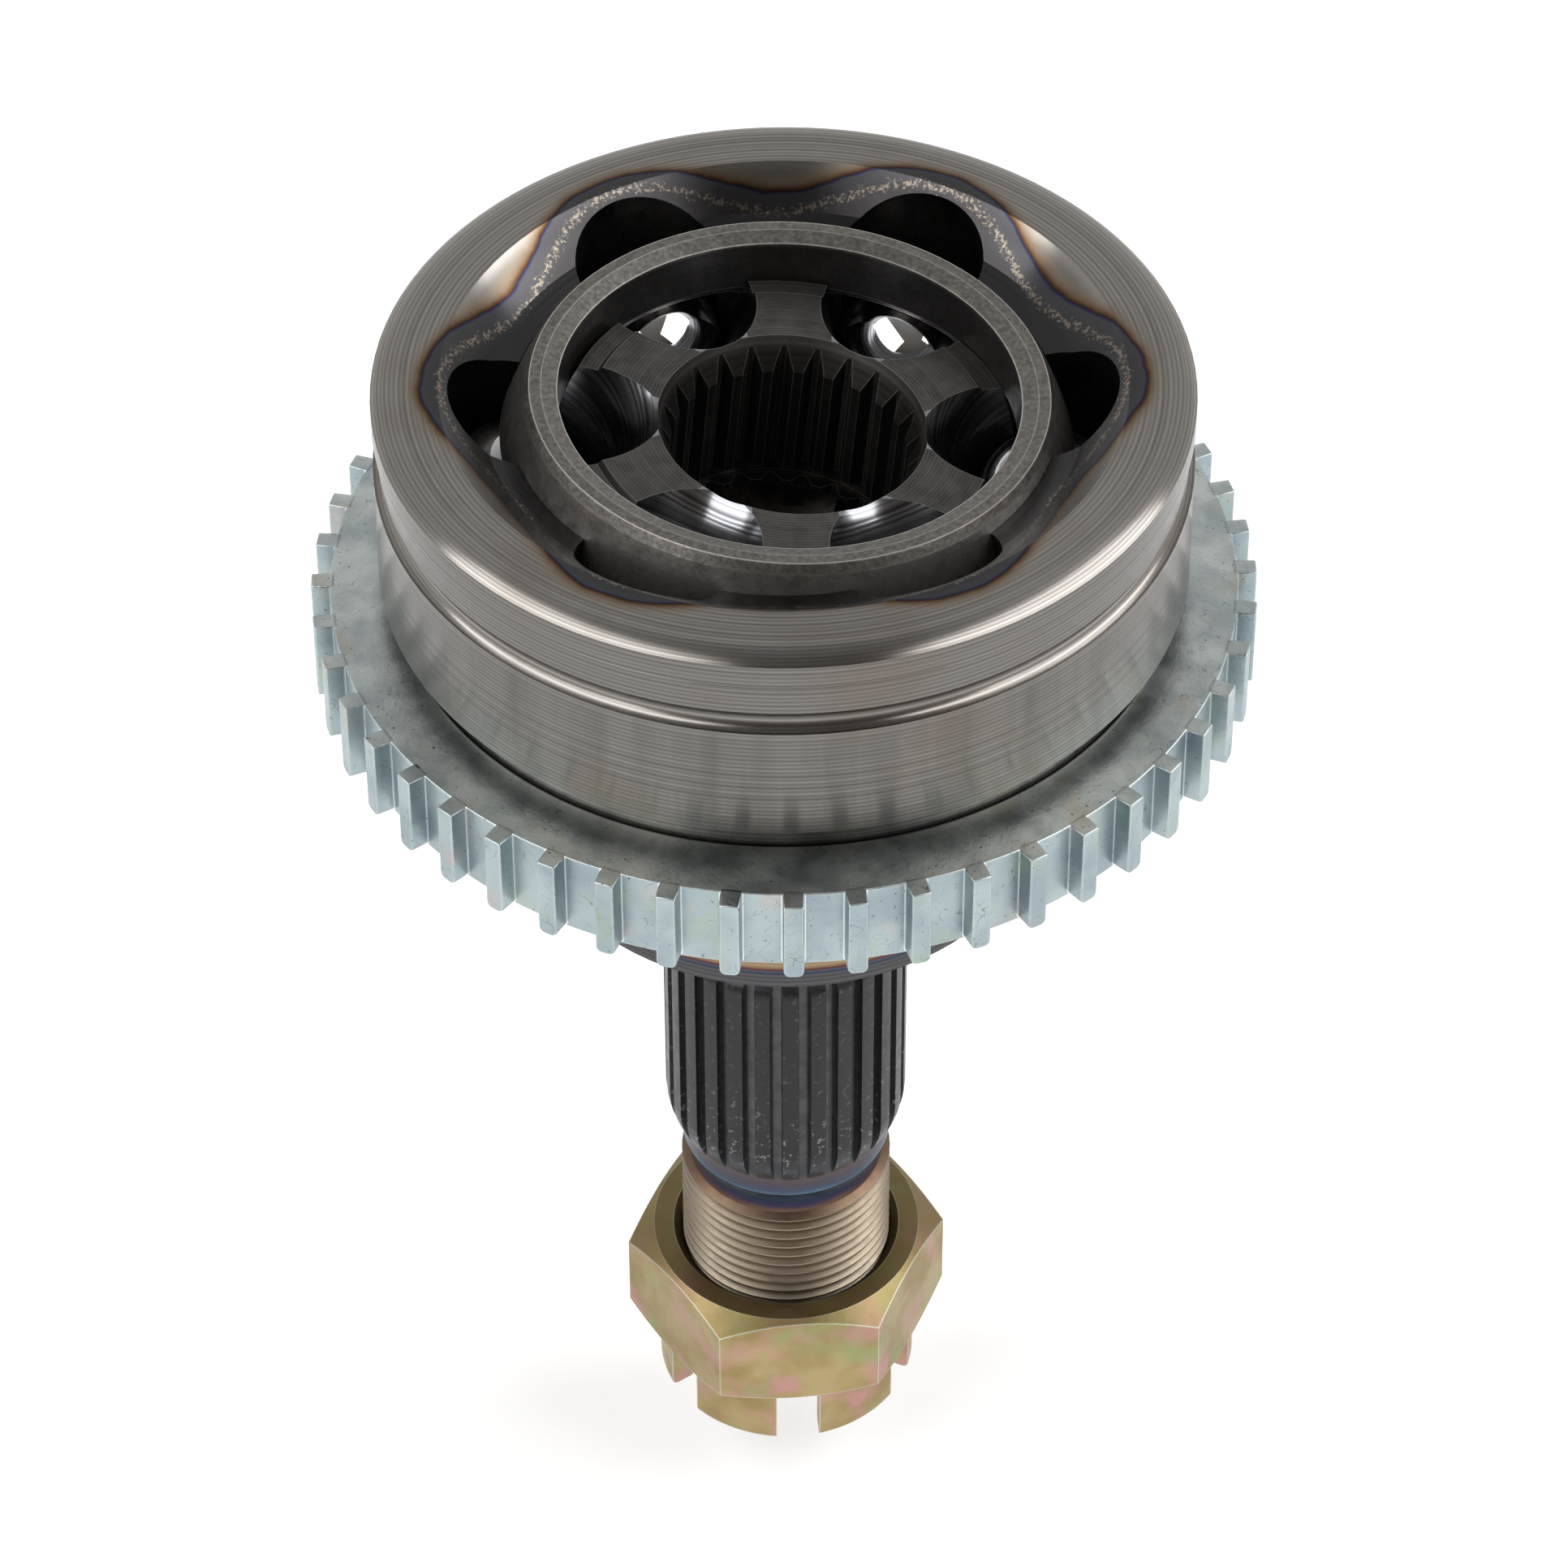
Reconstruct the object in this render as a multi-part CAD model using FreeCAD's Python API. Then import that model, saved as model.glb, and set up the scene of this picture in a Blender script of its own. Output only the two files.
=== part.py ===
import FreeCAD, Part
import math
import os

# Fixed ball joint of a front drive shaft: bell with its stub axle, toothed speed ring,
# cage, inner race, six balls and a slotted hub nut.
# Sizes are millimetres and degrees. The origin is the joint centre, +Z points out of the
# mouth towards the drive shaft, and the stub axle points down.

# Balls and the circles they run on
ball_diameter = 15.875
ball_count = 6
ball_pitch_radius = 28.0
groove_offset = 4.6
first_groove_angle = 1.0
outer_groove_clearance = 0.1
inner_groove_clearance = 0.2

# Pose at rest: how far the inner race leans towards +X
rest_lean = 5.0

# Cage
cage_wall_inside_pitch = 2.4
cage_wall_outside_pitch = 3.0
cage_top_height = 15.2
cage_bottom_height = 14.2
cage_mouth_lip = 1.6
cage_mouth_bevel = 1.7
cage_mouth_bevel_drop = 0.6
cage_rim_bevel = 0.65
cage_rim_bevel_drop = 1.1
window_clearance = 0.42
window_side_room = 1.4
window_corner_radius = 3.0

# Inner race
sphere_clearance = 0.1
race_half_height = 10.4
race_land_radius = 21.0
race_land_step = 0.5
inner_groove_top_angle = 60.0
inner_groove_bottom_angle = 35.0
shaft_spline_teeth = 24
shaft_spline_root_radius = 13.6
shaft_spline_tip_radius = 12.4
shaft_spline_gap_share = 0.68
shaft_spline_gap_end_share = 0.16
shaft_spline_phase = 3.0
bore_entry_radius = 14.1
bore_entry_depth = 3.6
bore_exit_radius = 13.9
bore_exit_depth = 1.4
clip_groove_radius = 14.2
clip_groove_width = 2.0
clip_groove_height = 3.0

# Bell, from the mouth's edge outwards and down
mouth_height = 16.55
mouth_chamfer_width = 4.4
mouth_chamfer_depth = 3.45
mouth_cone_slope = 0.3
rim_wall = 6.2
face_width = 7.0
face_slope = 0.015
rim_crown_width = 2.2
rim_crown_drop = 1.0
rim_band_length = 2.88
rim_line_depth = 0.15
boot_seat_length = 3.7
boot_seat_inset = 0.25
boot_seat_taper = 0.2
clamp_groove_width = 2.4
clamp_groove_depth = 1.1
lower_band_proud = 0.1
lower_band_length = 13.9
band_edge_chamfer = 0.3
neck_step = 1.8
neck_end_length = 1.0
outer_groove_top_angle = 45.0
outer_groove_bottom_angle = 52.0
floor_wall = 13.9
shoulder_radius = 28.0
shoulder_band_height = 4.5
shoulder_edge_chamfer = 0.4
underside_lip = 1.5
underside_flare = 2.5

# Toothed speed ring pressed on the bell's neck
ring_gap_below_band = 3.2
ring_height = 9.9
ring_root_depth = 7.2
ring_tooth_height = 2.0
ring_teeth = 48
ring_tooth_tip_width = 2.05
ring_tooth_root_width = 2.3
ring_tooth_phase = 1.0
ring_bore_rounding = 0.6
ring_tip_rounding = 0.35
ring_tooth_corner = 0.7

# Stub axle, from the shoulder down
shank_radius = 14.0
shank_length = 12.0
shank_fillet = 1.0
spline_teeth = 27
spline_tip_radius = 13.65
spline_root_radius = 12.5
spline_tip_share = 0.55
spline_root_share = 0.68
spline_phase = 2.3
spline_start = 15.2
spline_length = 31.8
spline_start_rounding = 1.6
spline_end_taper = 4.5
plain_band_radius = 11.9
plain_band_length = 3.2
relief_width = 3.8
relief_depth = 0.9
thread_radius = 12.0
thread_pitch = 1.5
thread_depth = 0.92
thread_turns = 18
thread_end_chamfer = 1.0
pin_hole_diameter = 4.2
pin_hole_from_end = 5.0
centre_hole_radius = 2.5

# Slotted hub nut
nut_across_flats = 32.0
nut_hex_height = 11.8
nut_crown_height = 10.2
nut_crown_radius = 14.9
nut_crown_rounding = 0.9
nut_face_radius = 15.4
nut_top_slope = 0.65
nut_bottom_slope = 0.56
nut_thread_clearance = 0.05
nut_mouth_radius = 13.1
nut_slot_width = 5.0
nut_slot_depth = 7.7
nut_slot_count = 6
nut_phase = 5.3
nut_overhang = 7.5

# How far cutters run past what they cut
cut_margin = 1.0

# Values worked out from the sizes above
ball_radius = ball_diameter / 2
groove_path_radius = math.hypot(ball_pitch_radius, groove_offset)
groove_pitch_angle = 360 / ball_count
cage_inner_radius = ball_pitch_radius - cage_wall_inside_pitch
cage_outer_radius = ball_pitch_radius + cage_wall_outside_pitch
cage_mouth_radius = cage_inner_radius - cage_mouth_lip
race_radius = cage_inner_radius - sphere_clearance
cavity_radius = cage_outer_radius + sphere_clearance
groove_reach = groove_path_radius + ball_radius + outer_groove_clearance
rim_radius = groove_reach + rim_wall
neck_radius = rim_radius - neck_step
lower_band_radius = rim_radius + lower_band_proud
mouth_radius = rim_radius - face_width
chamfer_bottom_radius = mouth_radius - mouth_chamfer_width
chamfer_bottom = mouth_height - mouth_chamfer_depth
crown_start_height = mouth_height - (face_width - rim_crown_width) * face_slope
rim_top = crown_start_height - rim_crown_drop
boot_seat_top = rim_top - rim_band_length
clamp_groove_top = boot_seat_top - boot_seat_length
lower_band_top = clamp_groove_top - clamp_groove_width
lower_band_bottom = lower_band_top - lower_band_length
ring_top = lower_band_bottom - ring_gap_below_band
ring_bottom = ring_top - ring_height
neck_bottom = ring_bottom - neck_end_length
ring_root_radius = neck_radius + ring_root_depth
ring_tip_radius = ring_root_radius + ring_tooth_height
shoulder_height = -(cavity_radius + floor_wall)
spline_top = shoulder_height - spline_start
spline_bottom = spline_top - spline_length
plain_band_bottom = spline_bottom - plain_band_length
thread_top = plain_band_bottom - relief_width
thread_bottom = thread_top - thread_turns * thread_pitch
stub_end = thread_bottom - thread_end_chamfer
pin_hole_height = stub_end + pin_hole_from_end

origin = FreeCAD.Vector(0, 0, 0)
axis_y = FreeCAD.Vector(0, 1, 0)
axis_z = FreeCAD.Vector(0, 0, 1)


def polar(radius, angle, height=0.0):
    """Point at a radius and an angle in degrees round Z."""
    turn = math.radians(angle)
    return FreeCAD.Vector(radius * math.cos(turn), radius * math.sin(turn), height)


def turned(outline):
    """Solid of revolution round Z.

    Each outline entry is a corner (radius, height), or a corner with a third value,
    the (radius, height) that the arc from the corner before it passes through.
    """
    edges = []
    before = outline[-1]
    for corner in outline:
        start = FreeCAD.Vector(before[0], 0, before[1])
        end = FreeCAD.Vector(corner[0], 0, corner[1])
        if len(corner) == 3:
            middle = FreeCAD.Vector(corner[2][0], 0, corner[2][1])
            edges.append(Part.Arc(start, middle, end).toShape())
        else:
            edges.append(Part.makeLine(start, end))
        before = corner
    face = Part.Face(Part.Wire(edges))
    return face.revolve(origin, axis_z, 360)


def arc_to(start, end, heading):
    """Outline entry for an arc that leaves its start at a heading, in degrees from outwards."""
    across = end[0] - start[0]
    up = end[1] - start[1]
    turn = math.atan2(up, across) - math.radians(heading)
    bow = math.tan(turn / 2) / 2
    return end + ((start[0] + across / 2 + up * bow, start[1] + up / 2 - across * bow),)


def toothed_prism(count, root_radius, tip_radius, root_share, tip_share, phase, bottom, top):
    """Upright prism with straight teeth pointing outwards."""
    pitch = 360 / count
    half_root = pitch * root_share / 2
    half_tip = pitch * tip_share / 2
    edges = []
    for number in range(count):
        centre = phase + number * pitch
        root_in = polar(root_radius, centre - half_root, bottom)
        tip_in = polar(tip_radius, centre - half_tip, bottom)
        tip_middle = polar(tip_radius, centre, bottom)
        tip_out = polar(tip_radius, centre + half_tip, bottom)
        root_out = polar(root_radius, centre + half_root, bottom)
        root_middle = polar(root_radius, centre + pitch / 2, bottom)
        root_next = polar(root_radius, centre + pitch - half_root, bottom)
        edges.append(Part.makeLine(root_in, tip_in))
        edges.append(Part.Arc(tip_in, tip_middle, tip_out).toShape())
        edges.append(Part.makeLine(tip_out, root_out))
        edges.append(Part.Arc(root_out, root_middle, root_next).toShape())
    face = Part.Face(Part.Wire(edges))
    return face.extrude(FreeCAD.Vector(0, 0, top - bottom))


def groove_cutter(radius, centre_height, top_angle, bottom_angle, angle):
    """Tube along a ball's meridian arc, which a groove is cut with."""
    top = math.radians(top_angle)
    start = FreeCAD.Vector(groove_path_radius * math.cos(top), 0,
                           centre_height + groove_path_radius * math.sin(top))
    direction = FreeCAD.Vector(-math.sin(top), 0, math.cos(top))
    section = Part.Face(Part.Wire(Part.makeCircle(radius, start, direction)))
    centre = FreeCAD.Vector(0, 0, centre_height)
    tube = section.revolve(centre, axis_y, top_angle + bottom_angle)
    tube.rotate(origin, axis_z, angle)
    return tube


def ball_latitude(lean, angle):
    """Angle of a ball below the bell's equator, set by the plane that halves the lean."""
    half = math.radians(lean / 2)
    return math.atan(-math.tan(half) * math.cos(math.radians(angle)))


def ball_centre(lean, angle):
    """Centre of the ball in the bell's groove at an angle, for a lean towards +X."""
    latitude = ball_latitude(lean, angle)
    along = latitude - math.asin(groove_offset * math.cos(latitude) / groove_path_radius)
    radius = groove_path_radius * math.cos(along)
    height = groove_offset + groove_path_radius * math.sin(along)
    return polar(radius, angle, height)


def groove_angles():
    """Angles of the grooves round Z."""
    return [first_groove_angle + number * groove_pitch_angle for number in range(ball_count)]


def thread_outline(top, turns):
    """Corners of the stub's thread, one ridge for each turn."""
    corners = []
    root = thread_radius - thread_depth
    crest_flat = thread_pitch / 8
    root_flat = thread_pitch / 4
    flank = (thread_pitch - crest_flat - root_flat) / 2
    for number in range(turns):
        height = top - number * thread_pitch
        corners.append((root, height))
        corners.append((thread_radius, height - flank))
        corners.append((thread_radius, height - flank - crest_flat))
        corners.append((root, height - 2 * flank - crest_flat))
    return corners


def bell_outline():
    """Corners of the bell's mouth cone, face and outside, down to the shoulder."""
    cone_tip = chamfer_bottom - chamfer_bottom_radius * mouth_cone_slope
    crown_start = (rim_radius - rim_crown_width, crown_start_height)
    crown_end = (rim_radius, rim_top)
    face_heading = -math.degrees(math.atan(face_slope))
    seat_radius = rim_radius - boot_seat_inset
    groove_middle = (clamp_groove_top + lower_band_top) / 2
    shoulder_top = shoulder_height + shoulder_band_height
    flare_start = (shoulder_radius, shoulder_top)
    flare_end = (shoulder_radius + underside_flare, shoulder_top + underside_flare)
    return [
        (0, cone_tip),
        (chamfer_bottom_radius, chamfer_bottom),
        (mouth_radius, mouth_height),
        crown_start,
        arc_to(crown_start, crown_end, face_heading),
        (rim_radius, boot_seat_top + rim_line_depth),
        (seat_radius - rim_line_depth, boot_seat_top),
        (seat_radius, boot_seat_top - rim_line_depth),
        (seat_radius - boot_seat_taper, clamp_groove_top),
        (lower_band_radius, lower_band_top, (rim_radius - clamp_groove_depth, groove_middle)),
        (lower_band_radius, lower_band_bottom + band_edge_chamfer),
        (lower_band_radius - band_edge_chamfer, lower_band_bottom),
        (neck_radius, lower_band_bottom),
        (neck_radius, neck_bottom),
        (neck_radius - underside_lip, neck_bottom - underside_lip),
        flare_end,
        flare_start + arc_to(flare_start, flare_end, 90)[2:],
        (shoulder_radius, shoulder_height + shoulder_edge_chamfer),
        (shoulder_radius - shoulder_edge_chamfer, shoulder_height),
    ]


def stub_outline():
    """Corners of the stub axle's core, from the shoulder to its end."""
    fillet_start = (shank_radius + shank_fillet, shoulder_height)
    fillet_end = (shank_radius, shoulder_height - shank_fillet)
    shank_bottom = shoulder_height - shank_length
    relief_middle = (plain_band_bottom + thread_top) / 2
    thread_root = thread_radius - thread_depth
    corners = [
        fillet_start,
        arc_to(fillet_start, fillet_end, 180),
        (shank_radius, shank_bottom),
        (spline_root_radius, shank_bottom - shank_radius + spline_root_radius),
        (spline_root_radius, spline_bottom),
        (plain_band_radius, spline_bottom - spline_root_radius + plain_band_radius),
        (plain_band_radius, plain_band_bottom),
        (thread_root, thread_top, (plain_band_radius - relief_depth, relief_middle)),
    ]
    corners.extend(thread_outline(thread_top, thread_turns)[1:])
    corners.append((thread_root - thread_end_chamfer, stub_end))
    corners.append((0, stub_end))
    return corners


def spline_ridges():
    """Ridges of the stub's spline, rounded off at the top and run out at the bottom."""
    teeth = toothed_prism(spline_teeth, spline_root_radius, spline_tip_radius,
                          spline_root_share, spline_tip_share,
                          270 + spline_phase, spline_bottom, spline_top)
    top_root = (spline_root_radius, spline_top)
    top_tip = (spline_tip_radius, spline_top - spline_start_rounding)
    bottom_tip = (spline_tip_radius, spline_bottom + spline_end_taper)
    bottom_root = (spline_root_radius, spline_bottom)
    envelope = turned([
        (0, spline_top),
        top_root,
        top_tip + arc_to(top_tip, top_root, 90)[2:],
        bottom_tip,
        arc_to(bottom_tip, bottom_root, -90),
        (0, spline_bottom),
    ])
    return teeth.common(envelope)


def make_outer_race():
    """Bell with its grooves, and the splined and threaded stub axle in one forging."""
    body = turned(bell_outline() + stub_outline())
    body = body.fuse(spline_ridges())
    cutters = [Part.makeSphere(cavity_radius)]
    for angle in groove_angles():
        cutters.append(groove_cutter(ball_radius + outer_groove_clearance, groove_offset,
                                     outer_groove_top_angle, outer_groove_bottom_angle,
                                     angle))
    pin_direction = polar(1, 270 + nut_phase)
    pin_start = pin_direction * (-2 * thread_radius)
    pin_start.z = pin_hole_height
    cutters.append(Part.makeCylinder(pin_hole_diameter / 2, 4 * thread_radius,
                                     pin_start, pin_direction))
    centre_depth = centre_hole_radius * math.sqrt(3)
    cutters.append(Part.makeCone(centre_hole_radius, 0, centre_depth,
                                 FreeCAD.Vector(0, 0, stub_end)))
    for cutter in cutters:
        body = body.cut(cutter)
    return body


def ring_tooth(angle):
    """One tooth of the speed ring, with its two lower corners rounded."""
    half_root = ring_tooth_root_width / 2
    half_tip = ring_tooth_tip_width / 2
    start = ring_root_radius - ring_tip_rounding
    corners = [(start, -half_root), (ring_tip_radius, -half_tip),
               (ring_tip_radius, half_tip), (start, half_root)]
    points = [FreeCAD.Vector(x, y, ring_bottom) for x, y in corners]
    tooth = Part.Face(Part.makePolygon(points + points[:1]))
    tooth = tooth.extrude(FreeCAD.Vector(0, 0, ring_height))
    lower = [edge for edge in tooth.Edges
             if edge.BoundBox.ZMax < ring_bottom + ring_tooth_corner
             and edge.BoundBox.XLength > half_tip]
    tooth = tooth.makeFillet(ring_tooth_corner, lower)
    upper = [edge for edge in tooth.Edges
             if edge.BoundBox.ZMin > ring_top - ring_tip_rounding
             and edge.BoundBox.XMin > ring_root_radius]
    tooth = tooth.makeFillet(ring_tip_rounding, upper)
    tooth.rotate(origin, axis_z, angle)
    return tooth


def make_speed_ring():
    """Toothed ring that the wheel-speed sensor reads, pressed on the bell's neck."""
    bore_edge = (neck_radius, ring_top - ring_bore_rounding)
    bore_edge_top = (neck_radius + ring_bore_rounding, ring_top)
    body = turned([
        (neck_radius, ring_bottom),
        bore_edge,
        arc_to(bore_edge, bore_edge_top, 90),
        (ring_root_radius, ring_top),
        (ring_root_radius, ring_bottom),
    ])
    pitch = 360 / ring_teeth
    teeth = [ring_tooth(270 + ring_tooth_phase + number * pitch) for number in range(ring_teeth)]
    return body.multiFuse(teeth).removeSplitter()


def window_cutter(angle):
    """Rounded rectangular window of the cage, cut outwards from inside the wall."""
    half_width = ball_radius + window_side_room
    half_height = ball_radius + window_clearance
    block = Part.makeBox(cage_outer_radius, 2 * half_width, 2 * half_height,
                         FreeCAD.Vector(cage_inner_radius / 2, -half_width, -half_height))
    long_edges = [edge for edge in block.Edges
                  if abs(edge.tangentAt(edge.FirstParameter).x) > 0.99]
    block = block.makeFillet(window_corner_radius, long_edges)
    block.rotate(origin, axis_z, angle)
    return block


def make_cage():
    """Ball cage: a spherical shell with a window for each ball."""
    bottom_outer = math.sqrt(cage_outer_radius ** 2 - cage_bottom_height ** 2)
    bottom_inner = math.sqrt(cage_inner_radius ** 2 - cage_bottom_height ** 2)
    mouth_end = math.sqrt(cage_inner_radius ** 2 - cage_mouth_radius ** 2)
    bevel_end_height = cage_top_height - cage_rim_bevel_drop
    bevel_end = math.sqrt(cage_outer_radius ** 2 - bevel_end_height ** 2)
    shell = turned([
        (cage_mouth_radius, cage_top_height - cage_mouth_bevel_drop),
        (cage_mouth_radius + cage_mouth_bevel, cage_top_height),
        (bevel_end - cage_rim_bevel, cage_top_height),
        (bevel_end, bevel_end_height),
        (bottom_outer, -cage_bottom_height, (cage_outer_radius, 0)),
        (bottom_inner, -cage_bottom_height),
        (cage_mouth_radius, mouth_end, (cage_inner_radius, 0)),
    ])
    for angle in groove_angles():
        shell = shell.cut(window_cutter(angle))
    shell.rotate(origin, axis_y, rest_lean / 2)
    return shell


def make_inner_race():
    """Inner race with its ball grooves and the splined bore for the drive shaft."""
    step_height = race_half_height - race_land_step
    edge_radius = math.sqrt(race_radius ** 2 - step_height ** 2)
    race = turned([
        (0, race_half_height),
        (race_land_radius, race_half_height),
        (race_land_radius + race_land_step, step_height),
        (edge_radius, step_height),
        (edge_radius, -step_height, (race_radius, 0)),
        (race_land_radius + race_land_step, -step_height),
        (race_land_radius, -race_half_height),
        (0, -race_half_height),
    ])
    bore = toothed_prism(shaft_spline_teeth, shaft_spline_tip_radius,
                         shaft_spline_root_radius, shaft_spline_gap_share,
                         shaft_spline_gap_end_share, 90 + shaft_spline_phase,
                         -race_half_height - cut_margin, race_half_height + cut_margin)
    race = race.cut(bore)
    entry = Part.makeCone(shaft_spline_tip_radius, bore_entry_radius, bore_entry_depth,
                          FreeCAD.Vector(0, 0, race_half_height - bore_entry_depth))
    leaving = Part.makeCone(bore_exit_radius, shaft_spline_tip_radius, bore_exit_depth,
                            FreeCAD.Vector(0, 0, -race_half_height))
    clip_bottom = clip_groove_height - clip_groove_width / 2 - race_half_height
    clip_groove = Part.makeCylinder(clip_groove_radius, clip_groove_width,
                                    FreeCAD.Vector(0, 0, clip_bottom))
    for cutter in (entry, leaving, clip_groove):
        race = race.cut(cutter)
    for angle in groove_angles():
        race = race.cut(groove_cutter(ball_radius + inner_groove_clearance, -groove_offset,
                                      inner_groove_top_angle, inner_groove_bottom_angle,
                                      angle))
    race.rotate(origin, axis_y, rest_lean)
    return race


def make_hub_nut():
    """Slotted hub nut, part of the way up the stub's thread."""
    bottom = stub_end - nut_overhang
    crown_top = bottom + nut_crown_height
    top = crown_top + nut_hex_height
    corner_radius = nut_across_flats / math.sqrt(3)
    top_drop = (corner_radius - nut_face_radius) * nut_top_slope
    bottom_drop = (corner_radius - nut_crown_radius) * nut_bottom_slope
    bore_radius = thread_radius + nut_thread_clearance
    points = [polar(corner_radius, nut_phase + number * 60, bottom) for number in range(6)]
    hexagon = Part.Face(Part.makePolygon(points + points[:1]))
    hexagon = hexagon.extrude(FreeCAD.Vector(0, 0, top - bottom))
    crown_edge_bottom = (nut_crown_radius - nut_crown_rounding, bottom)
    crown_edge = (nut_crown_radius, bottom + nut_crown_rounding)
    envelope = turned([
        (bore_radius, bottom),
        crown_edge_bottom,
        arc_to(crown_edge_bottom, crown_edge, 0),
        (nut_crown_radius, crown_top - bottom_drop),
        (corner_radius, crown_top),
        (corner_radius, top - top_drop),
        (nut_face_radius, top),
        (nut_mouth_radius, top),
        (bore_radius, top - nut_mouth_radius + bore_radius),
    ])
    nut = hexagon.common(envelope)
    for number in range(nut_slot_count // 2):
        slot = Part.makeBox(4 * nut_crown_radius, nut_slot_width, nut_slot_depth,
                            FreeCAD.Vector(-2 * nut_crown_radius, -nut_slot_width / 2, bottom))
        slot.rotate(origin, axis_z, 270 + nut_phase + number * 360 / nut_slot_count)
        nut = nut.cut(slot)
    return nut


def write(node, shape):
    """Write one node's solid to its own file."""
    solid = shape.Solids[0] if len(shape.Solids) == 1 else shape
    solid.exportStep("parts/" + node + ".step")
    print(node, len(shape.Solids), round(shape.Volume), shape.isValid())


def main():
    os.makedirs("parts", exist_ok=True)
    write("outer_race", make_outer_race())
    write("speed_ring", make_speed_ring())
    write("cage", make_cage())
    write("inner_race", make_inner_race())
    for number, angle in enumerate(groove_angles(), start=1):
        ball = Part.makeSphere(ball_radius, ball_centre(rest_lean, angle))
        write("ball_" + str(number), ball)
    write("hub_nut", make_hub_nut())


main()
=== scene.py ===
"""Looks of a fixed ball joint of a front drive shaft, dressed over its measured solids."""

import math

import bpy
import numpy as np
from mathutils import Matrix, Vector


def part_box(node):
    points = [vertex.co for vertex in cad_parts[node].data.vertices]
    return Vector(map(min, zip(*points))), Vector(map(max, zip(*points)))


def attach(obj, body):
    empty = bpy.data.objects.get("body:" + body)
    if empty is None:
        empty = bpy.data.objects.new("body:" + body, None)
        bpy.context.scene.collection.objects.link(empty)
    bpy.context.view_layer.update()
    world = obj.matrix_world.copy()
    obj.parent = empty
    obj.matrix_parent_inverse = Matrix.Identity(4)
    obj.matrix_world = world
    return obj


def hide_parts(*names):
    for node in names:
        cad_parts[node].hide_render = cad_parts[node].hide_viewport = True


bl_info = {
    "name": "Drive shaft joint looks",
    "version": (1, 0, 0),
    "blender": (4, 5, 0),
    "location": "3D View > Sidebar > Joint",
    "description": "Dresses a ball joint with its turned, hardened and plated steels",
    "category": "Object",
}

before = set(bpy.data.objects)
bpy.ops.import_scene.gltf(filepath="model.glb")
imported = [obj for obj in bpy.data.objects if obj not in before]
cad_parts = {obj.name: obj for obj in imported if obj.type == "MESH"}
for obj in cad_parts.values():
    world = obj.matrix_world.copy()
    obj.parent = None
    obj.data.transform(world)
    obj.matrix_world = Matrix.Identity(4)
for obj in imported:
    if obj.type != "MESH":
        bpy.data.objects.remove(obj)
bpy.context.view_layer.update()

MM = 0.001
GROOVE_COUNT = 6
BALL_NODES = ["ball_%d" % number for number in range(1, GROOVE_COUNT + 1)]
RING_LOW, RING_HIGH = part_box("speed_ring")
STUB_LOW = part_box("hub_nut")[0]

# Measures of the solids: the leans at rest, and the ball grooves in millimetres
CAGE_LEAN = math.radians(2.5)
RACE_LEAN = math.radians(5)
GROOVE_OFFSET = 4.6
BALL_CIRCLE = 28.0
GROOVE_PATH = 28.4
GROOVE_RADIUS = 8.1375
# How far a face's centre may lie off the surface that it is counted to, in millimetres
FACE_GAP = 0.12
# Corners nearer to each other than this, in metres, are joined
WELD = 1e-6
PHOTO_WIDTH = 1932


class BellSettings(bpy.types.PropertyGroup):
    """Sizes of the turned and hardened surfaces of the bell."""

    mouth_radius: bpy.props.FloatProperty(
        name="Mouth radius", description="Inner edge of the turned face, in millimetres",
        default=35.61)
    tint_radius: bpy.props.FloatProperty(
        name="Tint radius", description="Middle radius of the wavy heat line, in millimetres",
        default=35.1)
    chamfer_foot_radius: bpy.props.FloatProperty(
        name="Chamfer foot radius", description="Foot of the mouth's chamfer, in millimetres",
        default=31.21)
    chamfer_foot_height: bpy.props.FloatProperty(
        name="Chamfer foot height", description="Height of the chamfer's foot, in millimetres",
        default=13.1)
    chamfer_slope: bpy.props.FloatProperty(
        name="Chamfer slope", description="Rise of the mouth's chamfer for each step outwards",
        default=0.784)
    cone_slope: bpy.props.FloatProperty(
        name="Cone slope", description="Rise of the flat cone inside the chamfer",
        default=0.3)
    tint_swing: bpy.props.FloatProperty(
        name="Tint swing", description="How far the heat line waves in and out, in millimetres",
        default=2.2)
    first_groove: bpy.props.FloatProperty(
        name="First groove", description="Angle of the first ball groove",
        default=math.radians(1), subtype="ANGLE", unit="ROTATION")
    turning_pitch: bpy.props.FloatProperty(
        name="Turning pitch", description="Feed of the lathe on the outside, in millimetres",
        default=0.54, min=0.1)
    steel_colour: bpy.props.FloatVectorProperty(
        name="Turned steel", description="Colour of the bare turned steel", subtype="COLOR",
        size=3, default=(0.250, 0.235, 0.217))


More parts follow.
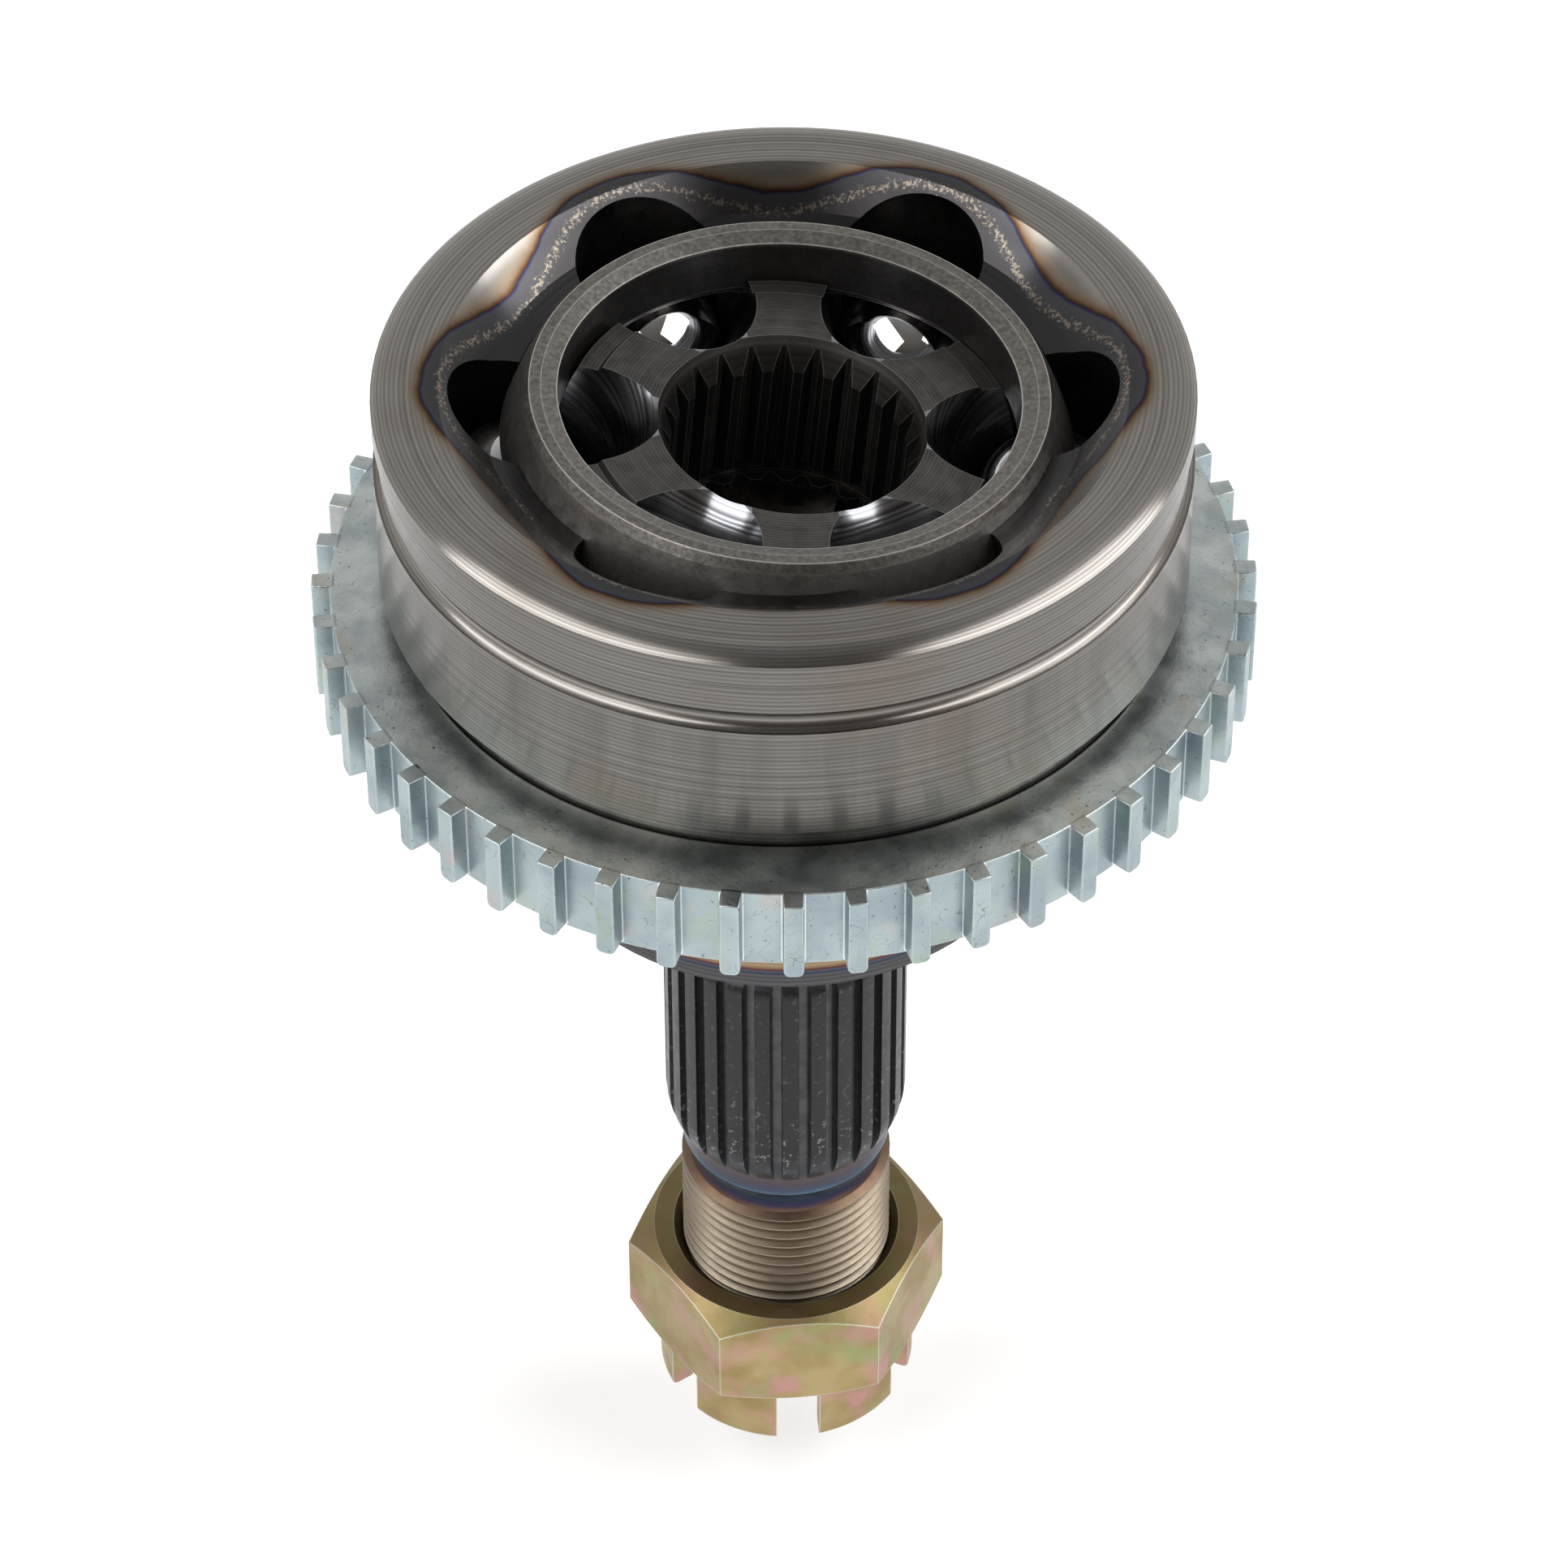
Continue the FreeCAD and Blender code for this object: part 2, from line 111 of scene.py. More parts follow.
class RingSettings(bpy.types.PropertyGroup):
    """Sizes of the toothed speed ring."""

    teeth: bpy.props.IntProperty(
        name="Teeth", description="Number of teeth round the ring", default=48, min=8)
    root_radius: bpy.props.FloatProperty(
        name="Root radius", description="Radius between the teeth", default=48.01 * MM,
        subtype="DISTANCE", unit="LENGTH")
    tooth_height: bpy.props.FloatProperty(
        name="Tooth height", description="How far a tooth stands out", default=2.0 * MM,
        subtype="DISTANCE", unit="LENGTH")
    tip_width: bpy.props.FloatProperty(
        name="Tip width", description="Width of a tooth at its tip", default=2.05 * MM,
        subtype="DISTANCE", unit="LENGTH")
    root_width: bpy.props.FloatProperty(
        name="Root width", description="Width of a tooth at its foot", default=2.3 * MM,
        subtype="DISTANCE", unit="LENGTH")
    bore_radius: bpy.props.FloatProperty(
        name="Bore radius", description="Radius of the bore on the bell's neck",
        default=40.81 * MM, subtype="DISTANCE", unit="LENGTH")
    bore_rounding: bpy.props.FloatProperty(
        name="Bore rounding", description="Rounding of the bore's upper edge",
        default=0.6 * MM, subtype="DISTANCE", unit="LENGTH")
    corner_rounding: bpy.props.FloatProperty(
        name="Corner rounding", description="Rounding of a tooth's lower corners",
        default=0.7 * MM, subtype="DISTANCE", unit="LENGTH")
    edge_rounding: bpy.props.FloatProperty(
        name="Edge rounding", description="Small rounding that the plating leaves on edges",
        default=0.16 * MM, subtype="DISTANCE", unit="LENGTH")
    phase: bpy.props.FloatProperty(
        name="Phase", description="Angle of the first tooth", default=math.radians(271),
        subtype="ANGLE", unit="ROTATION")


class StageSettings(bpy.types.PropertyGroup):
    """Camera, floor and lights."""

    target_height: bpy.props.FloatProperty(
        name="Target height", description="Height on the axis that the camera looks at",
        default=-41.24 * MM, subtype="DISTANCE", unit="LENGTH")
    distance: bpy.props.FloatProperty(
        name="Distance", description="From the camera to that point", default=708.2 * MM,
        subtype="DISTANCE", unit="LENGTH")
    elevation: bpy.props.FloatProperty(
        name="Elevation", description="Camera's angle above the horizon",
        default=math.radians(44.13), subtype="ANGLE", unit="ROTATION")
    roll: bpy.props.FloatProperty(
        name="Roll", description="Camera's turn about its view", default=math.radians(-0.17),
        subtype="ANGLE", unit="ROTATION")
    lens: bpy.props.FloatProperty(
        name="Lens", description="Focal length in millimetres on a 36 mm sensor",
        default=149.07, min=10)
    floor_drop: bpy.props.FloatProperty(
        name="Floor drop", description="Floor below the nut, which leaves room for its travel",
        default=13.7 * MM, subtype="DISTANCE", unit="LENGTH")
    room_light: bpy.props.FloatProperty(
        name="Room light", description="Level of the studio's walls", default=1.0, min=0)
    sheet_glow: bpy.props.FloatProperty(
        name="Sheet glow", description="What brings the sheet up to white where it is seen",
        default=0.22, min=0)


def paint(code):
    """Linear RGBA of an sRGB hex colour."""
    values = [int(code[place:place + 2], 16) / 255 for place in (1, 3, 5)]
    return tuple(v / 12.92 if v <= 0.04045 else ((v + 0.055) / 1.055) ** 2.4
                 for v in values) + (1.0,)


def add(tree, kind, inputs=(), out=0, stops=None, **settings):
    """Adds a node with its settings, feeds its inputs and returns one of its outputs."""
    node = tree.nodes.new(kind)
    for name, value in settings.items():
        setattr(node, name, value)
    for key, value in inputs.items() if isinstance(inputs, dict) else enumerate(inputs):
        if isinstance(value, bpy.types.NodeSocket):
            tree.links.new(value, node.inputs[key])
        elif value is not None:
            node.inputs[key].default_value = value
    if stops:
        ramp = node.color_ramp
        while len(ramp.elements) < len(stops):
            ramp.elements.new(1.0)
        for element, (place, code) in zip(ramp.elements, stops):
            element.position = place
            element.color = paint(code)
    return node.outputs[out] if node.outputs else node


def new_material(name):
    """Empty node material with an output, ready for its surface."""
    material = bpy.data.materials.new(name)
    material.use_nodes = True
    material.node_tree.nodes.clear()
    return material, material.node_tree


def close_material(tree, **shader_inputs):
    """Ends a material with its one surface shader."""
    names = {key.replace("_", " "): value for key, value in shader_inputs.items()}
    surface = add(tree, "ShaderNodeBsdfPrincipled", names)
    add(tree, "ShaderNodeOutputMaterial", [surface])


def place_on_piece(tree, lean=0.0):
    """Millimetre coordinates on an upright piece, with its radius, height and angle."""
    where = add(tree, "ShaderNodeTexCoord", out="Object")
    if lean:
        where = add(tree, "ShaderNodeVectorRotate",
                    {"Vector": where, "Axis": (0, 1, 0), "Angle": -lean},
                    rotation_type="AXIS_ANGLE")
    where = add(tree, "ShaderNodeVectorMath", {0: where, "Scale": 1000.0}, operation="SCALE")
    across = add(tree, "ShaderNodeSeparateXYZ", [where])
    along = across.node.outputs["Y"]
    height = across.node.outputs["Z"]
    flat = add(tree, "ShaderNodeCombineXYZ", [across, along])
    radius = add(tree, "ShaderNodeVectorMath", [flat], out="Value", operation="LENGTH")
    angle = calc(tree, "ARCTAN2", along, across)
    return {"where": where, "radius": radius, "height": height, "angle": angle}


def calc(tree, operation, *values):
    """Math node on sockets and numbers."""
    return add(tree, "ShaderNodeMath", values, operation=operation)


def remap(tree, value, low, high, first=0.0, last=1.0):
    """Spreads a value between low and high over the range from first to last."""
    return add(tree, "ShaderNodeMapRange", [value, low, high, first, last])


def noise(tree, vector, scale, detail, roughness=0.5):
    """Plain noise around 0.5, with its scale in lumps for each millimetre."""
    return add(tree, "ShaderNodeTexNoise",
               {"Vector": vector, "Scale": scale, "Detail": detail, "Roughness": roughness})


def grain(tree, vector, size, detail=3.0, roughness=0.55, low=0.35, high=0.65):
    """Noise of a size in millimetres, spread to the range from 0 to 1."""
    value = noise(tree, vector, 1 / size, detail, roughness)
    return remap(tree, value, low, high)


def bumps(tree, height, strength, depth):
    """Normal of a height from 0 to 1, with its depth in millimetres."""
    return add(tree, "ShaderNodeBump",
               {"Strength": strength, "Distance": depth * MM, "Height": height})


def facing_up(tree):
    """Upward part of a face's normal: 1 on a level top, 0 on an upright wall."""
    normal = add(tree, "ShaderNodeNewGeometry", out="Normal")
    return add(tree, "ShaderNodeSeparateXYZ", [normal], out="Z")


def painted_edge_highlight(tree, size, threshold):
    """Mask that is 1 on sharp edges, from a rounding of that many millimetres, for painting
    highlights on edges.
    """
    rounded = add(tree, "ShaderNodeBevel", {"Radius": size * MM}, samples=6)
    flat = add(tree, "ShaderNodeNewGeometry", out="Normal")
    facing = add(tree, "ShaderNodeVectorMath", [rounded, flat], out="Value",
                 operation="DOT_PRODUCT")
    return remap(tree, facing, 1 - threshold, 1 - 5 * threshold)


def blend_colour(tree, share, first, second, mode="MIX"):
    """Mixes two colours, given as hex codes or sockets."""
    ends = [paint(end) if isinstance(end, str) else end for end in (first, second)]
    return add(tree, "ShaderNodeMix", {0: share, 6: ends[0], 7: ends[1]}, out=2,
               data_type="RGBA", blend_type=mode)


def turning_marks(tree, place, pitch):
    """Fine rings of a lathe tool: a height from 0 to 1 that follows the turned outline."""
    along = calc(tree, "SUBTRACT", place["radius"], place["height"])
    steps = add(tree, "ShaderNodeCombineXYZ", [along])
    ring = noise(tree, steps, 0.7 / pitch, 1.0)
    wave = calc(tree, "MULTIPLY", along, 2 * math.pi / pitch)
    wave = calc(tree, "SINE", wave)
    return calc(tree, "MULTIPLY_ADD", wave, 0.22, ring)


def turned_steel(bell):
    """Bare medium carbon steel, turned on a lathe and left unground.

    The tool's feed leaves fine rings that spread the light up and down, so the bands show
    soft upright streaks, which are also painted in darker as reflection; the upright bands get
    painted shade, and the hardened mouth has a heat line that goes from blue to brown.
    """
    material, tree = new_material("turned_carbon_steel")
    place = place_on_piece(tree)
    rings = turning_marks(tree, place, bell.turning_pitch)
    base = tuple(bell.steel_colour) + (1.0,)
    ring_share = remap(tree, rings, 0.2, 0.8)
    colour = blend_colour(tree, ring_share, tuple(v * 0.72 for v in base[:3]) + (1.0,),
                          tuple(v * 1.32 for v in base[:3]) + (1.0,))
    # Painted reflection: soft darker streaks painted upright down the low band
    streak_at = add(tree, "ShaderNodeCombineXYZ",
                    [calc(tree, "MULTIPLY", place["angle"], 14.0),
                     None, calc(tree, "MULTIPLY", place["height"], 0.02)])
    streaks = grain(tree, streak_at, 1.4, detail=4.0, low=0.42, high=0.7)
    low_band = remap(tree, place["height"], 7.5, 5.0, 0.0, 0.5)
    streaks = calc(tree, "MULTIPLY", streaks, low_band)
    colour = blend_colour(tree, streaks, colour, "#5f5d58")
    # Painted shade: the upright bands are painted a little darker than the face, by how far
    # they face sideways
    up = facing_up(tree)
    film = remap(tree, up, 0.05, 0.2, 0.45, 0.0)
    colour = blend_colour(tree, film, colour, "#3f3f3d")
    scorch = grain(tree, place["where"], 16.0, detail=2.0, low=0.52, high=0.68)
    scorch = calc(tree, "MULTIPLY", scorch, 0.25)
    colour = blend_colour(tree, scorch, colour, "#6b5c4e")
    # Heat line of the induction hardening, waving outwards at each groove
    wave = calc(tree, "SUBTRACT", place["angle"], bell.first_groove)
    wave = calc(tree, "MULTIPLY", wave, float(GROOVE_COUNT))
    wave = calc(tree, "COSINE", wave)
    ragged = noise(tree, place["where"], 0.22, 3.0)
    ragged = calc(tree, "MULTIPLY_ADD", ragged, 0.9, -0.45)
    line = calc(tree, "MULTIPLY_ADD", wave, bell.tint_swing, ragged)
    line = calc(tree, "SUBTRACT", place["radius"], line)
    line = remap(tree, line, bell.tint_radius - 2.0, bell.tint_radius + 5.0)
    tint = add(tree, "ShaderNodeValToRGB", [line], stops=[
        (0.0, "#424142"), (0.250, "#48474a"), (0.272, "#2f3650"), (0.286, "#302737"),
        (0.300, "#3f2d21"), (0.350, "#6a533d"), (0.46, "#867661"), (0.70, "#8c857b")])
    # Beige flecks along the foot of the chamfer and round each groove
    fleck_line = calc(tree, "MULTIPLY_ADD", wave, 2.1, 33.3)
    beside = calc(tree, "SUBTRACT", place["radius"], fleck_line)
    darker = remap(tree, beside, 0.4, -1.4, 0.0, 0.55)
    tint = blend_colour(tree, darker, tint, "#343231")
    off = calc(tree, "ABSOLUTE", beside)
    near = remap(tree, off, 0.1, 1.1, 0.22, 0.0)
    flecks = noise(tree, place["where"], 2.4, 4.0, 0.7)
    flecks = calc(tree, "ADD", flecks, near)
    flecks = remap(tree, flecks, 0.70, 0.78, 0.0, 0.9)
    tint = blend_colour(tree, flecks, tint, "#857b70")
    shown = remap(tree, line, 0.33, 0.56, 1.0, 0.0)
    upper = remap(tree, place["height"], 9.5, 10.2)
    shown = calc(tree, "MULTIPLY", shown, upper)
    colour = blend_colour(tree, shown, colour, tint)
    bump = bumps(tree, rings, 0.3, 0.02)
    rough = remap(tree, ring_share, 0.0, 1.0, 0.28, 0.20)
    tangent = add(tree, "ShaderNodeTangent", direction_type="RADIAL", axis="Z")
    close_material(tree, Base_Color=colour, Metallic=1.0, Roughness=rough, Normal=bump,
                   Anisotropic=0.8, Anisotropic_Rotation=0.25, Tangent=tangent)
    return material


def hardened_raceway():
    """Induction-hardened and ground raceway: dark, smooth and slightly oily."""
    material, tree = new_material("hardened_raceway_steel")
    place = place_on_piece(tree)
    cloud = grain(tree, place["where"], 3.0, detail=4.0)
    colour = blend_colour(tree, cloud, "#39383a", "#55534f")
    rough = remap(tree, cloud, 0.0, 1.0, 0.42, 0.26)
    close_material(tree, Base_Color=colour, Metallic=1.0, Roughness=rough)
    return material


def tempered_stub():
    """Stub axle, hardened along its spline: blackened teeth, temper colours and bare thread.

    The heat runs out below the spline, through blue and purple to straw on the thread.
    """
    material, tree = new_material("tempered_stub_steel")
    place = place_on_piece(tree)
    span = remap(tree, place["height"], -127.0, -44.0)
    wander = noise(tree, place["where"], 0.15, 3.0)
    span = calc(tree, "MULTIPLY_ADD", wander, 0.012, span)
    tint = add(tree, "ShaderNodeValToRGB", [span], stops=[
        (0.0, "#92897b"), (0.325, "#8a7e6e"), (0.345, "#6c5545"), (0.353, "#38324a"),
        (0.365, "#2d3a4d"), (0.385, "#5f7486"), (0.393, "#3f4f60"), (0.405, "#4c4651"),
        (0.425, "#574c48"), (0.44, "#2c353c"), (0.47, "#1b1b1d"), (0.80, "#1b1a1c"),
        (0.86, "#4b4a4a"), (0.97, "#504f4e")])
    # Painted light: paler between the teeth, which lifts the shade in the gaps, with beige
    # crumbs on their lower part
    between = remap(tree, place["radius"], 13.5, 12.8, 0.0, 0.9)
    toothed = remap(tree, span, 0.43, 0.47)
    between = calc(tree, "MULTIPLY", between, toothed)
    blotch = grain(tree, place["where"], 1.6, detail=5.0, low=0.3, high=0.7)
    patchy = remap(tree, blotch, 0.0, 1.0, 0.45, 1.0)
    between = calc(tree, "MULTIPLY", between, patchy)
    colour = blend_colour(tree, between, tint, "#58575b")
    crumbs = grain(tree, place["where"], 0.7, detail=3.0, low=0.60, high=0.68)
    lower = remap(tree, place["height"], -88.0, -76.0, 0.75, 0.15)
    crumbs = calc(tree, "MULTIPLY", crumbs, lower)
    on_teeth = remap(tree, place["radius"], 12.4, 12.9)
    crumbs = calc(tree, "MULTIPLY", crumbs, on_teeth)
    colour = blend_colour(tree, crumbs, colour, "#8f8b84")
    rings = turning_marks(tree, place, 0.35)
    bump = bumps(tree, rings, 0.2, 0.03)
    rough = remap(tree, blotch, 0.0, 1.0, 0.42, 0.3)
    bare = remap(tree, span, 0.40, 0.47, 1.0, 0.45)
    close_material(tree, Base_Color=colour, Metallic=bare, Roughness=rough, Normal=bump)
    return material


def turned_underside():
    """Underside of the bell: coarse turning with the dark film of the quench oil."""
    material, tree = new_material("oil_darkened_turned_steel")
    place = place_on_piece(tree)
    rings = turning_marks(tree, place, 0.6)
    span = remap(tree, place["height"], -45.5, -38.0)
    tint = add(tree, "ShaderNodeValToRGB", [span], stops=[
        (0.0, "#4c4c4d"), (0.33, "#444549"), (0.41, "#2f3a52"), (0.46, "#5a3530"),
        (0.54, "#9a8262"), (0.75, "#5c5a57")])
    share = remap(tree, rings, 0.35, 0.75, 0.0, 0.25)
    colour = blend_colour(tree, share, tint, "#7d7a75")
    bump = bumps(tree, rings, 0.4, 0.05)
    close_material(tree, Base_Color=colour, Metallic=1.0, Roughness=0.38, Normal=bump)
    return material


def phosphated_cage():
    """Cage of case-hardened steel with a dark phosphate film, painted highlights on its edges
    and painted shade on its inside.
    """
    material, tree = new_material("phosphated_cage_steel")
    place = place_on_piece(tree, CAGE_LEAN)
    blotch = grain(tree, place["where"], 1.8, detail=6.0, roughness=0.65, low=0.36, high=0.64)
    # Painted shade: the inner walls get a darker copy of the blotchy colour than the outside
    outside = blend_colour(tree, blotch, "#615d5a", "#8f8b86")
    inside = blend_colour(tree, blotch, "#3c3a38", "#53504e")
    outer = remap(tree, place["radius"], 24.2, 25.6)
    colour = blend_colour(tree, outer, inside, outside)
    top = remap(tree, place["height"], 14.1, 14.5)
    speck = grain(tree, place["where"], 0.5, detail=4.0, low=0.36, high=0.7)
    ring = blend_colour(tree, speck, "#605d59", "#827e78")
    colour = blend_colour(tree, top, colour, ring)
    # Painted highlight: pale colour painted along the edges
    edge = painted_edge_highlight(tree, 0.25, 0.004)
    colour = blend_colour(tree, edge, colour, "#cfcbc4")
    bump = bumps(tree, speck, 0.25, 0.03)
    rough = remap(tree, blotch, 0.0, 1.0, 0.42, 0.3)
    close_material(tree, Base_Color=colour, Metallic=0.9, Roughness=rough, Normal=bump)
    return material


def ground_race():
    """Inner race: dark satin faces and ball grooves ground bright across their length."""
    material, tree = new_material("ground_race_steel")
    place = place_on_piece(tree, RACE_LEAN)
    blotch = grain(tree, place["where"], 2.2, detail=5.0, low=0.36, high=0.66)
    colour = blend_colour(tree, blotch, "#3c3a38", "#4e4b48")
    rings = turning_marks(tree, place, 0.4)
    share = remap(tree, rings, 0.4, 0.8, 0.0, 0.3)
    colour = blend_colour(tree, share, colour, "#6f6c68")
    # The toothed bore is nearly black
    bore = remap(tree, place["radius"], 13.8, 13.3, 0.0, 0.75)
    colour = blend_colour(tree, bore, colour, "#161514")
    # Painted highlight: pale colour painted along the edges
    edge = painted_edge_highlight(tree, 0.18, 0.02)
    colour = blend_colour(tree, edge, colour, "#8f8c87")
    bump = bumps(tree, rings, 0.25, 0.03)
    rough = remap(tree, blotch, 0.0, 1.0, 0.45, 0.33)
    close_material(tree, Base_Color=colour, Metallic=0.8, Roughness=rough, Normal=bump)
    return material


def milled_groove():
    """Ball groove of the inner race: milled in short arcs that catch the light."""
    material, tree = new_material("milled_groove_steel")
    place = place_on_piece(tree, RACE_LEAN)
    raised = calc(tree, "ADD", place["height"], GROOVE_OFFSET)
    arc = calc(tree, "ARCTAN2", raised, place["radius"])
    arc = calc(tree, "MULTIPLY", arc, GROOVE_PATH)
    arcs = add(tree, "ShaderNodeCombineXYZ", [arc])
    lines = noise(tree, arcs, 1.4, 1.0)
    share = remap(tree, lines, 0.35, 0.65)
    colour = blend_colour(tree, share, "#626266", "#b4b6ba")
    bump = bumps(tree, lines, 0.5, 0.04)
    close_material(tree, Base_Color=colour, Metallic=1.0, Roughness=0.2, Normal=bump)
    return material


def lapped_ball():
    """Bearing ball of through-hardened chromium steel, lapped to a mirror."""
    material, tree = new_material("lapped_ball_steel")
    place = place_on_piece(tree)
    haze = grain(tree, place["where"], 5.0, detail=2.0)
    rough = remap(tree, haze, 0.0, 1.0, 0.03, 0.06)
    close_material(tree, Base_Color=paint("#c9c8c9"), Metallic=1.0, Roughness=rough)
    return material


def zinc_plate():
    """Pressed steel ring with clear passivated zinc: pale blue with faint rainbow clouds."""
    material, tree = new_material("clear_zinc_plated_steel")
    place = place_on_piece(tree)
    pale = grain(tree, place["where"], 9.0, detail=3.0, low=0.4, high=0.6)
    colour = blend_colour(tree, pale, "#93a1a7", "#a7b4b7")
    green = grain(tree, place["where"], 5.5, detail=2.0, low=0.55, high=0.7)
    green = calc(tree, "MULTIPLY", green, 0.4)
    colour = blend_colour(tree, green, colour, "#a3b192")
    shifted = add(tree, "ShaderNodeVectorMath", [place["where"], (31.0, 17.0, 5.0)])
    warm = grain(tree, shifted, 6.5, detail=2.0, low=0.58, high=0.72)
    warm = calc(tree, "MULTIPLY", warm, 0.5)
    colour = blend_colour(tree, warm, colour, "#b9a9a3")
    # The upper face looks duller and greyer than the rim
    up = facing_up(tree)
    up = remap(tree, up, 0.7, 0.95)
    cloud = grain(tree, place["where"], 4.0, detail=5.0, low=0.35, high=0.65)
    face = blend_colour(tree, cloud, "#aab4b4", "#ced5d2")
    face = blend_colour(tree, warm, face, "#b3a892")
    colour = blend_colour(tree, up, colour, face)
    curl = noise(tree, place["where"], 0.5, 1.0, 0.4)
    curl = calc(tree, "SUBTRACT", curl, 0.5)
    curl = calc(tree, "ABSOLUTE", curl)
    curl = remap(tree, curl, 0.002, 0.008, 0.55, 0.0)
    patch = grain(tree, place["where"], 3.0, detail=1.0, low=0.52, high=0.56)
    curl = calc(tree, "MULTIPLY", curl, patch)
    colour = blend_colour(tree, curl, colour, "#5a5f5d")
    # Painted highlight: near-white colour painted along the edges, kept off the upper face
    edge = painted_edge_highlight(tree, 0.3, 0.02)
    off_face = calc(tree, "SUBTRACT", 1.0, up)
    edge = calc(tree, "MULTIPLY", edge, off_face)
    colour = blend_colour(tree, edge, colour, "#eef3f4")
    pits = noise(tree, place["where"], 2.2, 2.0, 0.6)
    pits = remap(tree, pits, 0.68, 0.74)
    colour = blend_colour(tree, pits, colour, "#5d625f")
    fine = grain(tree, place["where"], 0.5, detail=3.0, low=0.3, high=0.7)
    relief = calc(tree, "MULTIPLY_ADD", pits, -1.5, fine)
    bump = bumps(tree, relief, 0.35, 0.03)
    rough = remap(tree, cloud, 0.0, 1.0, 0.34, 0.39)
    close_material(tree, Base_Color=colour, Metallic=1.0, Roughness=rough, Normal=bump)
    return material


def yellow_zinc():
    """Nut steel with yellow chromated zinc: gold with pink and green clouds."""
    material, tree = new_material("yellow_zinc_plated_steel")
    place = place_on_piece(tree)
    cloud = grain(tree, place["where"], 7.0, detail=3.0, low=0.38, high=0.62)
    colour = blend_colour(tree, cloud, "#978359", "#a8966d")
    pink = grain(tree, place["where"], 6.0, detail=2.0, low=0.5, high=0.68)
    slots = remap(tree, place["height"], -119.0, -124.0, 0.75, 1.1)
    pink = calc(tree, "MULTIPLY", pink, slots)
    colour = blend_colour(tree, pink, colour, "#b48b82")
    shifted = add(tree, "ShaderNodeVectorMath", [place["where"], (13.0, 41.0, 9.0)])
    green = grain(tree, shifted, 6.0, detail=2.0, low=0.52, high=0.68)
    green = calc(tree, "MULTIPLY", green, 0.7)
    colour = blend_colour(tree, green, colour, "#8f9a68")
    # Painted shade: the top face and its bevels are painted a darker olive than the sides
    up = facing_up(tree)
    up = remap(tree, up, 0.5, 0.8, 0.0, 0.7)
    colour = blend_colour(tree, up, colour, "#6f6040")
    # Painted highlight: pale colour painted along the edges
    edge = painted_edge_highlight(tree, 0.3, 0.02)
    colour = blend_colour(tree, edge, colour, "#c3c6b6")
    fine = grain(tree, place["where"], 0.5, detail=3.0, low=0.3, high=0.7)
    bump = bumps(tree, fine, 0.25, 0.03)
    rough = remap(tree, cloud, 0.0, 1.0, 0.47, 0.37)
    close_material(tree, Base_Color=colour, Metallic=1.0, Roughness=rough, Normal=bump)
    return material


def face_centres(node):
    """Centres of the faces of a CAD node, in millimetres, as rows of X, Y and Z."""
    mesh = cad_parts[node].data
    centres = np.zeros(len(mesh.polygons) * 3)
    mesh.polygons.foreach_get("center", centres)
    return centres.reshape(-1, 3) / MM


def assign_zones(node, materials, zones=None):
    """Gives a CAD node its materials and each of its faces the number of its material."""
    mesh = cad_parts[node].data
    mesh.materials.clear()
    for material in materials:
        mesh.materials.append(material)
    if zones is None:
        zones = np.zeros(len(mesh.polygons))
    mesh.polygons.foreach_set("material_index", zones.astype(np.int32))
    mesh.update()


class JOINT_OT_bell(bpy.types.Operator):
    """Finishes the bell and its stub axle zone by zone"""

    bl_idname = "joint.bell"
    bl_label = "Bell and stub axle"

    def execute(self, context):
        bell = context.scene.joint_bell
        centres = face_centres("outer_race")
        radius = np.hypot(centres[:, 0], centres[:, 1])
        height = centres[:, 2]
        beyond = radius - bell.chamfer_foot_radius
        cone = bell.chamfer_foot_height + bell.cone_slope * beyond
        steep = bell.chamfer_foot_height + bell.chamfer_slope * beyond
        on_mouth = (np.abs(height - np.maximum(cone, steep)) < FACE_GAP) & (height > 10)
        inside = (radius < 36.5) & (height > -33) & (height < 16) & ~on_mouth
        underside = (height < -21.4) & (radius > 15)
        stub_axle = (height < -44.9) & (radius < 15.2)
        zones = np.zeros(len(radius))
        for number, part in enumerate((inside, underside, stub_axle), 1):
            zones[part] = number
        assign_zones("outer_race", [turned_steel(bell), hardened_raceway(),
                                    turned_underside(), tempered_stub()], zones)
        return {"FINISHED"}


